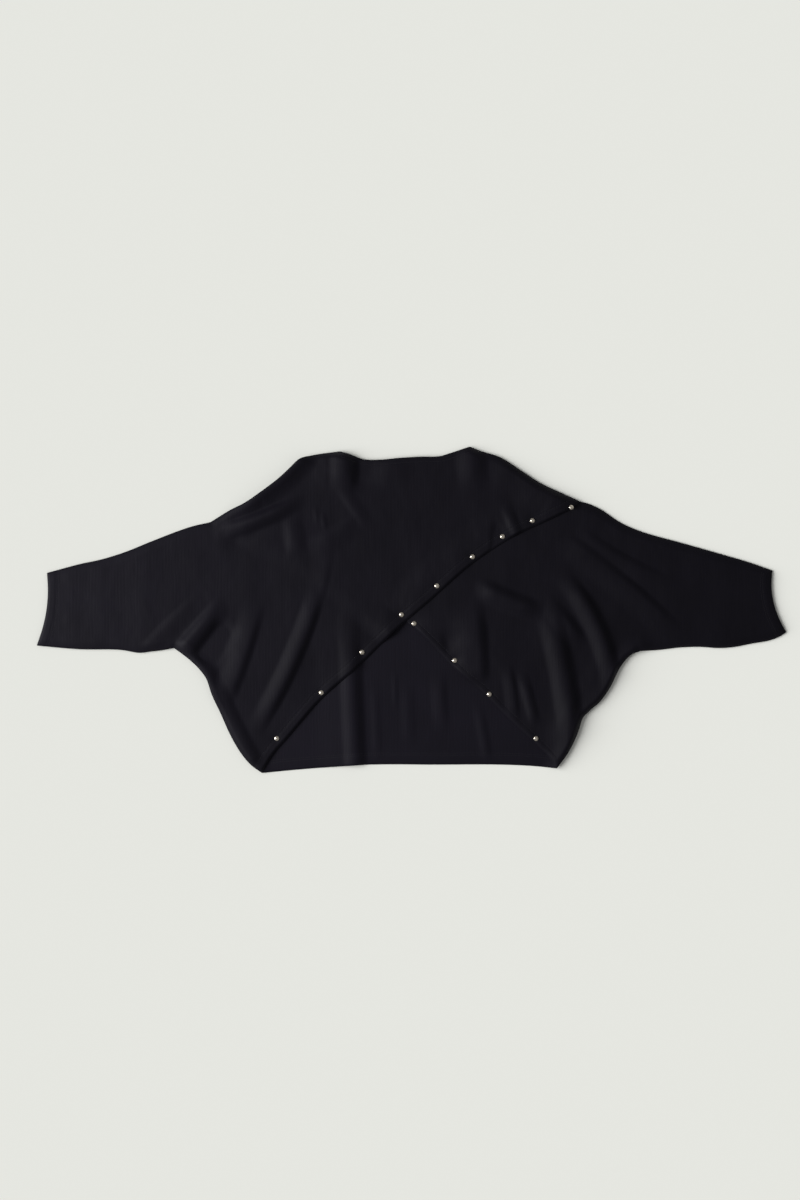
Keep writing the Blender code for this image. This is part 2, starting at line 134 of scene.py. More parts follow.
# Folds run downwards from start to end, bowed to the right by bow. They are height high, reach
# left_width and right_width to either side, and fade in and out over these shares of their length.
Fold = namedtuple("Fold", "name start end bow height left_width right_width fade_in fade_out")
BACK_FOLDS = (
    Fold("hem ridge", (-108, 24), (-94, -285), 0, 4.2, 22, 22, 0.5, 0.01),
    Fold("swell left of the hem ridge", (-108, 24), (-94, -285), 0, 3.2, 70, 22, 0.5, 0.01),
    Fold("lip beside the hem ridge", (-64, -110), (-57, -262), 0, 0.9, 9, 12, 0.4, 0.3),
    Fold("thin crease", (-29, -100), (-27, -175), 0, 0.8, 5, 6, 0.4, 0.4),
    Fold("first ripple", (46, -95), (54, -215), 0, 2.0, 20, 13, 0.4, 0.4),
    Fold("second ripple", (110, -150), (130, -262), 0, 1.6, 12, 11, 0.4, 0.3),
    Fold("faint ripple", (-8, -110), (-4, -240), 0, 1.1, 14, 16, 0.4, 0.4),
)
WRAP_FOLDS = (
    Fold("shoulder tuck", (-178, 188), (-340, 127), 5, 9.0, 14, 20, 0.35, 0.5),
    Fold("hollow below the tuck", (-226, 142), (-330, 106), 4, -1.2, 14, 15, 0.5, 0.4),
    Fold("left neck ridge", (-115, 275), (-115, 184), 0, 4.8, 25, 28, 0.02, 0.6),
    Fold("swell left of the neck ridge", (-115, 275), (-115, 184), 0, 4.0, 80, 28, 0.02, 0.6),
    Fold("hollow by the neck", (-80, 262), (-88, 190), 0, -3.0, 19, 46, 0.2, 0.4),
    Fold("lump by the neck", (-16, 262), (-34, 196), 0, 1.4, 44, 28, 0.4, 0.5),
    Fold("left neck thread", (-128, 215), (-66, 127), 0, 1.6, 11, 18, 0.35, 0.4),
    Fold("right neck ridge", (101, 285), (106, 188), 0, 5.2, 32, 28, 0.02, 0.6),
    Fold("rise of the right shoulder", (136, 262), (268, 182), 0, 4.0, 56, 16, 0.25, 0.2),
    Fold("short pleat", (-203, 164), (-192, 84), 0, 3.0, 20, 22, 0.4, 0.35),
    Fold("first thread", (-152, 168), (-143, 128), 0, 0.9, 7, 7, 0.4, 0.4),
    Fold("second thread", (-163, 176), (-157, 140), 0, 0.7, 6, 7, 0.4, 0.4),
    Fold("low step", (-88, 154), (-178, 106), 4, 3.0, 14, 30, 0.4, 0.4),
    Fold("upper end of the long fold", (-137, 120), (-160, 4), 3, 1.4, 34, 12, 0.5, 0.3),
    Fold("long fold", (-154, 38), (-269, -217), 11, 6.0, 24, 14, 0.2, 0.3),
    Fold("second fold", (-253, 22), (-313, -160), 4, 4.6, 32, 14, 0.4, 0.2),
    Fold("armpit ridge", (-315, 18), (-392, -71), 2, 7.4, 16, 25, 0.5, 0.2),
    Fold("armpit hollow", (-306, -14), (-358, -92), 0, -4.8, 24, 34, 0.3, 0.2),
    Fold("hollow down the side", (-329, -50), (-318, -128), 0, -1.6, 17, 40, 0.35, 0.3),
    Fold("sleeve ridge", (-346, 29), (-450, -70), -3, 1.8, 13, 24, 0.5, 0.15),
    Fold("side roll", (-330, -112), (-258, -262), -5, 3.5, 17, 16, 0.3, 0.1),
    Fold("edge hollow", (147, 158), (140, 92), 0, -2.8, 14, 20, 0.4, 0.1),
    Fold("edge ripple", (154, 182), (181, 116), 0, 3.2, 12, 13, 0.5, 0.05),
    Fold("settling to the bare edge", (272, 171), (-251, -274), -38, -1.2, 70, 30, 0.15, 0.45),
)
UNDER_FOLDS = (
    Fold("outer side fold", (247, 68), (342, -146), 21, 8.2, 26, 15, 0.3, 0.35),
    Fold("inner side fold", (226, 18), (274, -232), 6, 8.4, 29, 21, 0.35, 0.3),
    Fold("slanting pleat", (218, 30), (292, -64), 2, 5.4, 26, 14, 0.6, 0.35),
    Fold("swell at the hem corner", (268, -110), (256, -262), 0, 3.6, 40, 16, 0.5, 0.1),
    Fold("side swell", (348, -58), (248, -240), 0, 2.5, 36, 44, 0.3, 0.25),
    Fold("cross fold", (106, 45), (224, -4), -3, 7.4, 26, 17, 0.3, 0.3),
    Fold("middle ridge", (104, 20), (115, -130), 2, 6.2, 54, 19, 0.35, 0.2),
    Fold("edge ripple", (183, -98), (210, -200), 0, 3.0, 12, 12, 0.4, 0.3),
    Fold("inner edge ripple", (160, -84), (176, -192), 2, 3.0, 18, 9, 0.4, 0.3),
    Fold("long sleeve fold", (250, 126), (458, -46), 6, 4.4, 36, 14, 0.2, 0.3),
    Fold("upper sleeve fold", (276, 136), (450, 40), -8, 3.2, 26, 13, 0.3, 0.4),
    Fold("hollow by the crossing", (54, -28), (68, -78), 0, -2.4, 15, 50, 0.5, 0.5),
    Fold("settling to the bare edge", (10, -38), (250, -272), 3, -3.2, 20, 60, 0.2, 0.04),
)

# The soft unevenness of laid cloth: how high, how wide and how long its swells are.
Swell = namedtuple("Swell", "height width length seed")
SWELLS = (Swell(0.9, 36, 70, 3.7), Swell(0.2, 11, 18, 11.3))

# How a front comes down to an edge: over reach, keeping this share of its lift at the edge.
Fall = namedtuple("Fall", "edge reach kept")
# How the back turns up at a folded side, over reach: by left_height where the edge starts at the
# left, changing evenly to right_height at its right end.
Curl = namedtuple("Curl", "edge left_height right_height reach")
# A turned edge: its width, how much it thickens the cloth, and how far in its rows of stitches run.
# inward is 1 where the cloth lies left of the line's own direction, and -1 where it lies right.
Turning = namedtuple("Turning", "edge inward width thickness rows")

# Where the studs stand, as points (x, y).
WRAP_STUDS = ((-226.4, -216.6), (-151.6, -139.7), (-83.2, -71.8), (-16.8, -8.6), (42.6, 39.7),
              (102.2, 88.6), (152.5, 122.5), (202.7, 149.2), (267.8, 171.5))
UNDER_STUDS = ((4.2, -23.5), (72.5, -85.5), (130.5, -142.3), (209.0, -216.7))
TURNING_STEP = 3.0
STITCH_GROOVE = 0.5
STITCH_GROOVE_REACH = 2.4
STUD_PRESS_REACH = 9.0
STUD_PRESS_KEPT = 0.45
SEAT_SIDES = 24

# A cap's outline in shares of its radius: its flat underside, its rolled rim, the groove inside the
# rim and the dome.
CAP_SIDES = 32
CAP_UNDERSIDE = 0.92
CAP_ROLL = 0.08
CAP_GROOVE = 0.86
CAP_DOME = 0.84
ROLL_STEPS = 6
DOME_STEPS = 9

# The image is 800 x 1200, with its middle over this place and this much of the floor in its height.
IMAGE_MIDDLE = (-0.0193, 0.0160)
IMAGE_HEIGHT = 2.016
CLOTH_LEVEL = 0.005
SENSOR_WIDTH = 36.0
FLOOR_HALF_WIDTH = 100.0
FLOOR_DROP = 0.3
FLOOR_LIGHT_AWAY = 3.0
FARTHEST_SEEN = 200.0


def linear(hex_colour):
    """The linear colour that a shader reads, of an sRGB hex value such as "1A1B1F"."""
    channels = [int(hex_colour[i:i + 2], 16) / 255.0 for i in (0, 2, 4)]
    curved = [c / 12.92 if c <= 0.04045 else ((c + 0.055) / 1.055) ** 2.4 for c in channels]
    return (*curved, 1.0)


class ClothSettings(bpy.types.PropertyGroup):
    wall: FloatProperty(
        name="Wall", description="Thickness of the jersey, with its loft",
        default=0.0016, min=0.001, max=0.003, precision=4, unit="LENGTH",
    )
    seam_gap: FloatProperty(
        name="Gap between layers", description="Air between two layers that lie on each other",
        default=0.0003, min=0.0001, max=0.002, precision=4, unit="LENGTH",
    )
    wrap_puff: FloatProperty(
        name="Wrap lift", description="How far the air inside lifts the wrap front",
        default=0.003, min=0.0, max=0.01, precision=4, unit="LENGTH",
    )
    under_puff: FloatProperty(
        name="Under lift", description="How far the air inside lifts the under front",
        default=0.0045, min=0.0, max=0.01, precision=4, unit="LENGTH",
    )
    cell: FloatProperty(
        name="Cell", description="Width of one cell of a panel's grid",
        default=0.0027, min=0.002, max=0.02, precision=4, unit="LENGTH",
    )
    rows: IntProperty(
        name="Rows", description="Rows of cells from a panel's lower edge to its upper edge",
        default=122, min=20, max=140,
    )
    colour: FloatVectorProperty(
        name="Jersey colour", description="Colour of the dyed yarn", subtype="COLOR", size=4,
        default=linear("0F0D15"), min=0.0, max=1.0,
    )
    nap_colour: FloatVectorProperty(
        name="Nap colour", description="Colour of the light that the fine nap catches",
        subtype="COLOR", size=4, default=linear("B9B6CC"), min=0.0, max=1.0,
    )
    # The back's jersey is drawn this much lighter: partly the wrong side's own duller tone, partly
    # painted light on the back where it shows between the fronts.
    wrong_side_and_painted_light: FloatProperty(
        name="Wrong side", description="How much lighter the jersey's wrong side is",
        default=1.35, min=0.5, max=2.0,
    )
    rib_pitch: FloatProperty(
        name="Rib pitch", description="Distance between the soft vertical ribs of the knit",
        default=0.0054, min=0.002, max=0.02, precision=4, unit="LENGTH",
    )
    streak_width: FloatProperty(
        name="Streak width", description="Width of the uneven streaks along the knit",
        default=0.0024, min=0.001, max=0.02, precision=4, unit="LENGTH",
    )
    streak_length: FloatProperty(
        name="Streak length", description="Length of the uneven streaks along the knit",
        default=0.05, min=0.005, max=0.5, precision=4, unit="LENGTH",
    )


class StitchSettings(bpy.types.PropertyGroup):
    spacing: FloatProperty(
        name="Stitch spacing", description="From one stitch to the next",
        default=0.0032, min=0.001, max=0.01, precision=4, unit="LENGTH",
    )
    length: FloatProperty(
        name="Stitch length", description="Length of a stitch on the surface",
        default=0.0026, min=0.001, max=0.01, precision=4, unit="LENGTH",
    )
    thread: FloatProperty(
        name="Thread", description="Thickness of the sewing thread",
        default=0.00055, min=0.0001, max=0.002, precision=5, unit="LENGTH",
    )
    colour: FloatVectorProperty(
        name="Thread colour", description="Colour of the sewing thread", subtype="COLOR", size=4,
        default=linear("1B1A20"), min=0.0, max=1.0,
    )


class StudSettings(bpy.types.PropertyGroup):
    radius: FloatProperty(
        name="Radius", description="Radius of a stud's cap",
        default=0.004, min=0.002, max=0.01, precision=4, unit="LENGTH",
    )
    rim: FloatProperty(
        name="Rim", description="Height of the cap's straight rim",
        default=0.0007, min=0.0002, max=0.003, precision=4, unit="LENGTH",
    )
    dome: FloatProperty(
        name="Dome", description="Height of the dome above the rim",
        default=0.002, min=0.0005, max=0.005, precision=4, unit="LENGTH",
    )
    colour: FloatVectorProperty(
        name="Metal colour", description="Colour of the plated metal", subtype="COLOR", size=4,
        default=linear("E3DACB"), min=0.0, max=1.0,
    )


class StageSettings(bpy.types.PropertyGroup):
    floor_colour: FloatVectorProperty(
        name="Floor colour", description="Colour of the plain floor", subtype="COLOR", size=4,
        default=linear("E8E9E3"), min=0.0, max=1.0,
    )
    key: FloatProperty(
        name="Floor light", description="Strength of the large soft light on the floor",
        default=4.0, min=0.0, max=20.0,
    )
    key_height: FloatProperty(
        name="Floor light height", description="How high the floor light stands, from the left",
        default=math.radians(32.0), min=0.1, max=1.57, unit="ROTATION",
    )
    key_size: FloatProperty(
        name="Floor light size", description="How wide the floor light is, seen from the floor",
        default=math.radians(56.0), min=0.01, max=3.1, unit="ROTATION",
    )
    side: FloatProperty(
        name="Side light", description="Power of the softbox at the left that lights the garment",
        default=61.0, min=0.0, max=1000.0, unit="POWER",
    )
    side_place: FloatVectorProperty(
        name="Side light place", description="Where the softbox stands", subtype="TRANSLATION",
        default=(-2.0, 0.0, 1.2), unit="LENGTH",
    )
    side_size: FloatProperty(
        name="Side light size", description="Width of the softbox",
        default=1.2, min=0.1, max=5.0, unit="LENGTH",
    )
    fill: FloatProperty(
        name="Fill light", description="Strength of the even light from all round",
        default=0.30, min=0.0, max=5.0,
    )
    lens: FloatProperty(
        name="Lens", description="Focal length of the camera, in millimetres",
        default=85.0, min=20.0, max=200.0,
    )


def smooth(value):
    """0 below 0 and 1 above 1, with an even rise between."""
    value = np.clip(value, 0.0, 1.0)
    return value * value * (3.0 - 2.0 * value)


def rounded(value):
    """0 below 0 and 1 above 1, rising steeply at first, like the side of a rolled edge."""
    return np.sin(0.5 * math.pi * np.clip(value, 0.0, 1.0))


def stretch_y(points, x):
    """The y of one stretch of an edge at x, on an even curve through its points."""
    point_x, point_y = np.array(points, float).T
    step = np.diff(point_x)
    rise = np.diff(point_y) / step
    slope = np.concatenate([rise[:1], (rise[1:] + rise[:-1]) / 2, rise[-1:]])
    i = np.clip(np.searchsorted(point_x, x, side="right") - 1, 0, len(step) - 1)
    t = (x - point_x[i]) / step[i]
    from_left = (1 + 2 * t) * point_y[i] + t * step[i] * slope[i]
    from_right = (3 - 2 * t) * point_y[i + 1] + (t - 1) * step[i] * slope[i + 1]
    return (1 - t) ** 2 * from_left + t ** 2 * from_right


def edge_y(stretches, x):
    """The y of an edge made of stretches, at each x."""
    x = np.asarray(x, float)
    y = stretch_y(stretches[0], x)
    for stretch in stretches[1:]:
        y = np.where(x >= stretch[0][0], stretch_y(stretch, x), y)
    return y


def edge_line(stretch):
    """A stretch of an edge as a line of many short steps."""
    point_x = [point[0] for point in stretch]
    x = np.linspace(point_x[0], point_x[-1], LINE_STEPS * (len(point_x) - 1) + 1)
    return np.stack([x, stretch_y(stretch, x)], axis=1)


def distance(x, y, line):
    """How far each place is from a line of points."""
    nearest = np.full(np.shape(x), np.inf)
    for start, end in zip(line[:-1], line[1:]):
        run = end - start
        along = ((x - start[0]) * run[0] + (y - start[1]) * run[1]) / (run @ run)
        along = np.clip(along, 0.0, 1.0)
        away = np.hypot(x - start[0] - along * run[0], y - start[1] - along * run[1])
        nearest = np.minimum(nearest, away)
    return nearest


def fold_height(fold, x, y):
    """How far one fold raises each place."""
    run_x = fold.end[0] - fold.start[0]
    run_y = fold.end[1] - fold.start[1]
    length = math.hypot(run_x, run_y)
    from_x = x - fold.start[0]
    from_y = y - fold.start[1]
    along = (from_x * run_x + from_y * run_y) / length ** 2
    across = (from_y * run_x - from_x * run_y) / length
    across = across - 4.0 * fold.bow * along * (1.0 - along)
    width = np.where(across > 0.0, fold.right_width, fold.left_width)
    profile = np.clip(1.0 - (across / width) ** 2, 0.0, 1.0) ** 2
    ends = smooth(along / fold.fade_in) * smooth((1.0 - along) / fold.fade_out)
    return fold.height * profile * ends


def swell_height(swell, x, y):
    """The soft unevenness of laid cloth, longer along Y than across."""
    wave = [
        noise.noise(Vector((place_x / swell.width, place_y / swell.length, swell.seed)))
        for place_x, place_y in zip(x.ravel(), y.ravel())
    ]
    return swell.height * np.reshape(wave, x.shape)


def fall_to_edges(falls, x, y):
    """The share of its lift that a front keeps at each place."""
    kept = np.ones(np.shape(x))
    for fall in falls:
        away = distance(x, y, fall.edge)
        kept = kept * (fall.kept + (1.0 - fall.kept) * rounded(away / fall.reach))
    return kept


def press_of_studs(places, x, y):
    """The share of its lift that a front keeps round its studs, which hold it down."""
    kept = np.ones(np.shape(x))
    for stud_x, stud_y in places:
        away = np.hypot(x - stud_x, y - stud_y) / STUD_PRESS_REACH
        kept = kept * (1.0 - (1.0 - STUD_PRESS_KEPT) * np.exp(-away ** 2))
    return kept


def front_lift(puff, folds, falls, x, y):
    """How far a front stands off what it lies on."""
    lift = np.full(np.shape(x), puff)
    for fold in folds:
        lift = lift + fold_height(fold, x, y)
    for swell in SWELLS:
        lift = lift + swell_height(swell, x, y)
    return np.maximum(lift, 0.0) * fall_to_edges(falls, x, y)


def wall_top(x, y, low, wall):
    """The upper face of a wall over a grid of points whose underside is low, wall thick square
    to its slope."""
    rows = np.stack([np.gradient(part, axis=0) for part in (x, y, low)], axis=-1)
    columns = np.stack([np.gradient(part, axis=1) for part in (x, y, low)], axis=-1)
    out = np.cross(columns, rows)
    return low + wall * np.linalg.norm(out, axis=-1) / out[..., 2]


def turned_height(turnings, x, y):
    """How far the turned edges thicken the cloth, with a shallow groove at each row of stitches."""
    height = np.zeros(np.shape(x))
    for turning in turnings:
        away = distance(x, y, turning.edge)
        band = turning.thickness * (1.0 - smooth((away - turning.width) / TURNING_STEP))
        for row in turning.rows:
            groove = np.clip(1.0 - ((away - row) / STITCH_GROOVE_REACH) ** 2, 0.0, 1.0)
            band = band - STITCH_GROOVE * groove
        height = np.where(np.abs(band) > np.abs(height), band, height)
    return height


def rolled(edges, wall, x, y):
    """How far the upper face rolls down towards a panel's rim."""
    drop = np.zeros(np.shape(x))
    for edge in edges:
        away = distance(x, y, edge)
        drop = np.maximum(drop, ROLL_DROP * wall * np.clip(1.0 - away / ROLL_REACH, 0.0, 1.0) ** 2)
    return drop


def cuff_line(section):
    """The bowed edge of a cuff."""
    share = np.linspace(0.0, 1.0, 3 * LINE_STEPS + 1)
    low_y = edge_y(BACK_BOTTOM, section.low_x)
    high_y = edge_y(OUTLINE_TOP, section.high_x)
    x = section.low_x + share * (section.high_x - section.low_x)
    x = x + 4.0 * section.bow * share * (1.0 - share)
    return np.stack([x, low_y + share * (high_y - low_y)], axis=1)


WRAP_END_LINE = np.array([(272.0, 171.0), (283.0, 181.0)])
WRAP_BARE_LINE = np.concatenate([edge_line(WRAP_EDGE), WRAP_END_LINE[1:]])
UNDER_BARE_LINE = np.concatenate([[(-262.0, 186.0)], edge_line(UNDER_EDGE)])
UNDER_HIDDEN_LINE = UNDER_BARE_LINE[UNDER_BARE_LINE[:, 0] < 0.0]
UNDER_SHOWN_LINE = UNDER_BARE_LINE[UNDER_BARE_LINE[:, 0] > 0.0]
LEFT_CUFF_LINE = cuff_line(LEFT_SECTIONS[0])
RIGHT_CUFF_LINE = cuff_line(RIGHT_SECTIONS[-1])

WRAP_FALLS = (
    Fall(LEFT_CUFF_LINE, 18, 0.75),
    Fall(edge_line(LEFT_UNDERARM), 15, 0.0),
    Fall(edge_line(LEFT_SIDE), 9, 0.0),
    Fall(edge_line(LEFT_SLEEVE_TOP), 15, 0.0),
    Fall(edge_line(LEFT_SHOULDER), 10, 0.0),
    Fall(edge_line(NECKLINE), 14, 0.35),
    Fall(edge_line(RIGHT_SHOULDER), 13, 0.0),
    Fall(WRAP_BARE_LINE, 5, 0.1),
)
UNDER_FALLS = (
    Fall(RIGHT_CUFF_LINE, 18, 0.4),
    Fall(edge_line(RIGHT_UNDERARM), 15, 0.0),
    Fall(edge_line(RIGHT_SIDE), 9, 0.0),
    Fall(edge_line(RIGHT_SLEEVE_TOP), 15, 0.0),
    Fall(edge_line(RIGHT_SHOULDER), 16, 0.0),
    Fall(UNDER_HIDDEN_LINE, 45, 0.0),
    Fall(UNDER_SHOWN_LINE, 5, 0.1),
)
BACK_CURLS = (
    Curl(edge_line(RIGHT_SIDE), 6.0, 6.0, 28),
    Curl(edge_line(LEFT_SIDE[:6]), 1.0, 6.5, 26),
    Curl(edge_line(LEFT_SIDE[5:8]), 6.5, 2.0, 22),
    Curl(edge_line(LEFT_SIDE[7:]), 2.0, 2.0, 19),
    Curl(edge_line(LEFT_SHOULDER[:4]), 0.0, 12.0, 30),
    Curl(edge_line(LEFT_SHOULDER[3:7]), 12.0, 12.0, 32),
)
BACK_RIM = [edge_line(edge) for edge in BACK_BOTTOM]
WRAP_RIM = [fall.edge for fall in WRAP_FALLS]
UNDER_RIM = [fall.edge for fall in UNDER_FALLS]
BACK_TURNINGS = (Turning(edge_line(HEM), 1, 18.0, 0.7, (15.0, 18.5)),)
WRAP_TURNINGS = (
    Turning(WRAP_BARE_LINE, 1, 15.0, 0.5, (14.0,)),
    Turning(edge_line(NECKLINE), -1, 9.0, 0.5, (8.0,)),
    Turning(LEFT_CUFF_LINE, -1, 18.0, 0.5, (14.5, 18.0)),
)
UNDER_TURNINGS = (
    Turning(UNDER_SHOWN_LINE, 1, 11.0, 0.5, (10.5,)),
    Turning(RIGHT_CUFF_LINE, 1, 18.0, 0.5, (14.5, 18.0)),
)


def back_underside(x, y):
    """Flat on the surface but for the hem ridge and the sides, which turn up."""
    height = np.zeros(np.shape(x))
    for fold in BACK_FOLDS:
        height = height + fold_height(fold, x, y)
    turned_up = np.zeros(np.shape(x))
    for curl in BACK_CURLS:
        away = distance(x, y, curl.edge) / curl.reach
        share = smooth((x - curl.edge[0, 0]) / (curl.edge[-1, 0] - curl.edge[0, 0]))
        height_here = curl.left_height + share * (curl.right_height - curl.left_height)
        turned_up = np.maximum(turned_up, height_here * (1.0 - rounded(away)))
    return height + turned_up


def under_underside(x, y, cloth):
    """The under front's inner face: on the back, and flat well inside the wrap that covers it."""
    past_wrap = distance(x, y, WRAP_BARE_LINE)
    covered = (y > edge_y((WRAP_EDGE,), x)) & (x < WRAP_END_LINE[1][0])
    past_wrap = np.where(covered, -past_wrap, past_wrap)
    shown = smooth((past_wrap + UNDER_RISE_INSIDE_WRAP) / UNDER_RISE_REACH)
    lift = front_lift(cloth.under_puff / MM, UNDER_FOLDS, UNDER_FALLS, x, y) * shown
    lift = lift * press_of_studs(UNDER_STUDS, x, y)
    on_back = wall_top(x, y, back_underside(x, y), cloth.wall / MM)
    return on_back + cloth.seam_gap / MM + lift


def wrap_underside(x, y, cloth):
    """The wrap's inner face: on the under front where that is, and on the back elsewhere."""
    wall = cloth.wall / MM
    past_under = distance(x, y, UNDER_BARE_LINE)
    above_under = (y > edge_y((UNDER_EDGE,), x)) & (x > UNDER_BARE_LINE[0][0])
    past_under = np.where(above_under, 0.0, past_under)
    carried = 1.0 - smooth((past_under - WRAP_FLAT_PAST_UNDER) / WRAP_FALL_PAST_UNDER)
    on_back = wall_top(x, y, back_underside(x, y), wall)
    on_under = wall_top(x, y, under_underside(x, y, cloth), wall)
    lift = front_lift(cloth.wrap_puff / MM, WRAP_FOLDS, WRAP_FALLS, x, y)
    lift = lift * press_of_studs(WRAP_STUDS, x, y)
    below = on_back + carried * (on_under - on_back)
    return below + cloth.seam_gap / MM + np.maximum(lift, LEAST_LIFT)


def back_top_edge(x):
    """The outline's top, lower at the neck, where the back shows nothing above the front."""
    neck_left, neck_right = NECKLINE[0][0], NECKLINE[-1][0]
    into_neck = np.minimum(x - neck_left, neck_right - x)
    return edge_y(OUTLINE_TOP, x) - BACK_NECK_DROP * smooth(into_neck / BACK_NECK_DROP_REACH + 1.0)


def under_top_edge(x):
    """The outline's top, lower where the wrap covers it."""
    start, end = UNDER_INSET_ENDS_X
    return edge_y(OUTLINE_TOP, x) - UNDER_INSET * (1.0 - smooth((x - start) / (end - start)))


def wrap_top_edge(x):
    """The outline's top."""
    return edge_y(OUTLINE_TOP, x)


def panel_grid(sections, bottom, top_edge, cell, rows):
    """A panel's points as two arrays, x and y, of rows by columns no wider than cell."""
    low_x, high_x, bow = [], [], []
    for section, after in zip(sections[:-1], sections[1:]):
        widest = max(after.low_x - section.low_x, after.high_x - section.high_x)
        columns = math.ceil(widest / cell)
        share = np.arange(columns) / columns
        low_x.extend(section.low_x + share * (after.low_x - section.low_x))
        high_x.extend(section.high_x + share * (after.high_x - section.high_x))
        bow.extend(section.bow + share * (after.bow - section.bow))
    low_x = np.array(low_x + [sections[-1].low_x])
    high_x = np.array(high_x + [sections[-1].high_x])
    bow = np.array(bow + [sections[-1].bow])
    low_y = edge_y(bottom, low_x)
    high_y = top_edge(high_x)
    even = np.linspace(0.0, 1.0, rows + 1)
    crowded = 0.5 - 0.5 * np.cos(math.pi * even)
    share = (even + ROW_CROWDING * (crowded - even))[:, None]
    x = low_x + share * (high_x - low_x) + 4.0 * bow * share * (1.0 - share)
    y = low_y + share * (high_y - low_y)
    return x, y


def finish_piece(name, shape, material):
    """Turns a bmesh into a named object, riding on the one body, with its material."""
    bmesh.ops.recalc_face_normals(shape, faces=shape.faces)
    mesh = bpy.data.meshes.new(name)
    shape.to_mesh(mesh)
    shape.free()
    mesh.shade_smooth()
    mesh.materials.append(material)
    piece = bpy.data.objects.new(name, mesh)
    bpy.context.scene.collection.objects.link(piece)
    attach(piece, "root")
    return piece


def round_rim(sheet, walls):
    """Bulges the walls round a sheet's rim outwards, so the edge of the cloth is rounded."""
    upright = {edge for face in walls for edge in face.edges
               if abs(edge.verts[0].co.z - edge.verts[1].co.z) > 0.5 * RIM_BULGE * MM
               and len([other for other in edge.link_faces if other in walls]) == 2}
    heights = {}
    for edge in upright:
        low, high = sorted(vert.co.z for vert in edge.verts)
        heights[tuple(round(value, 9) for value in edge.verts[0].co.xy)] = (low, high)
    parts = bmesh.ops.subdivide_edges(sheet, edges=list(upright), cuts=RIM_CUTS)["geom_inner"]
    sheet.normal_update()
    moved = []
    for vert in parts:
        if isinstance(vert, bmesh.types.BMVert):
            low, high = heights[tuple(round(value, 9) for value in vert.co.xy)]
            share = (vert.co.z - low) / (high - low)
            out = Vector((*vert.normal.xy, 0.0)).normalized()
            moved.append((vert, out * RIM_BULGE * MM * math.sin(math.pi * share) ** 0.5))
    for vert, offset in moved:
        vert.co += offset


def make_panel(name, x, y, low, high, material):
    """A closed wall of cloth: a sheet on its underside, extruded to its upper face, with its rim
    rounded."""
    last_row, last_column = x.shape[0] - 1, x.shape[1] - 1
    sheet = bmesh.new()
    bmesh.ops.create_grid(sheet, x_segments=last_column, y_segments=last_row, size=0.5)
    rise = {}
    for vert in sheet.verts:
        column = round((vert.co.x + 0.5) * last_column)
        row = round((vert.co.y + 0.5) * last_row)
        vert.co = Vector((x[row, column], y[row, column], low[row, column])) * MM
        rise[tuple(vert.co)] = (high[row, column] - low[row, column]) * MM
    under = set(sheet.faces)
    upper = bmesh.ops.extrude_face_region(sheet, geom=sheet.faces[:])["geom"]
    for vert in upper:
        if isinstance(vert, bmesh.types.BMVert):
            vert.co.z += rise[tuple(vert.co)]
    bmesh.ops.recalc_face_normals(sheet, faces=sheet.faces)
    upper = {face for face in upper if isinstance(face, bmesh.types.BMFace)}
    round_rim(sheet, {face for face in sheet.faces if face not in upper and face not in under})
    return finish_piece(name, sheet, material)


def cloth_tree(panel):
    """A tree of a panel's faces, to find its upper face from above."""
    points = [vert.co for vert in panel.data.vertices]
    faces = [tuple(face.vertices) for face in panel.data.polygons]
    return BVHTree.FromPolygons(points, faces)


def cloth_below(cloth, x, y, height_if_none):
    """The point of a panel's upper face at x, y in metres."""
    hit = cloth.ray_cast(Vector((x, y, ABOVE_ALL)), Vector((0.0, 0.0, -1.0)))[0]
    return hit if hit else Vector((x, y, height_if_none))


def stud_seat(cloth, x, y, radius):
    """The middle and the direction of a stud's seat: the plane of the cloth around it, raised
    just clear of every point of cloth under its rim."""
    middle = cloth_below(cloth, x * MM, y * MM, 0.0)
    around = []
    for side in range(SEAT_SIDES):
        angle = 2.0 * math.pi * side / SEAT_SIDES
        rim_x = x * MM + radius * math.cos(angle)
        rim_y = y * MM + radius * math.sin(angle)
        around.append(cloth_below(cloth, rim_x, rim_y, middle.z))
    quarter = SEAT_SIDES // 4
    out = (around[0] - around[2 * quarter]).cross(around[quarter] - around[3 * quarter])
    out.normalize()
    clearance = max(0.0, max((point - middle).dot(out) for point in around))
    return middle + out * clearance, out


def make_stud(name, node, seat, out, settings, material):
    """A domed cap with a rolled rim, spun from its outline and set square to the cloth."""
    radius, rim, dome = settings.radius, settings.rim, settings.dome
    outline = [(0.0, 0.0), (CAP_UNDERSIDE * radius, 0.0)]
    for step in range(ROLL_STEPS + 1):
        angle = math.pi * (step / ROLL_STEPS - 0.5)
        outline.append((CAP_UNDERSIDE * radius + CAP_ROLL * radius * math.cos(angle),
                        0.5 * rim + 0.5 * rim * math.sin(angle)))
    outline.append((CAP_GROOVE * radius, 0.92 * rim))
    for step in range(DOME_STEPS):
        angle = 0.5 * math.pi * step / DOME_STEPS
        outline.append((CAP_DOME * radius * math.cos(angle), rim + dome * math.sin(angle)))
    outline.append((0.0, rim + dome))
    cap = bmesh.new()
    verts = [cap.verts.new((away, 0.0, height)) for away, height in outline]
    edges = [cap.edges.new(pair) for pair in zip(verts[:-1], verts[1:])]
    bmesh.ops.spin(
        cap, geom=verts + edges, axis=(0, 0, 1), cent=(0, 0, 0),
        angle=2.0 * math.pi, steps=CAP_SIDES, use_merge=True,
    )
    bmesh.ops.remove_doubles(cap, verts=cap.verts, dist=0.01 * MM)
    turn = out.to_track_quat("Z", "Y").to_matrix().to_4x4()
    bmesh.ops.transform(cap, matrix=Matrix.Translation(seat) @ turn, verts=cap.verts)
    piece = finish_piece(name, cap, material)
    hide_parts(node)
    return piece


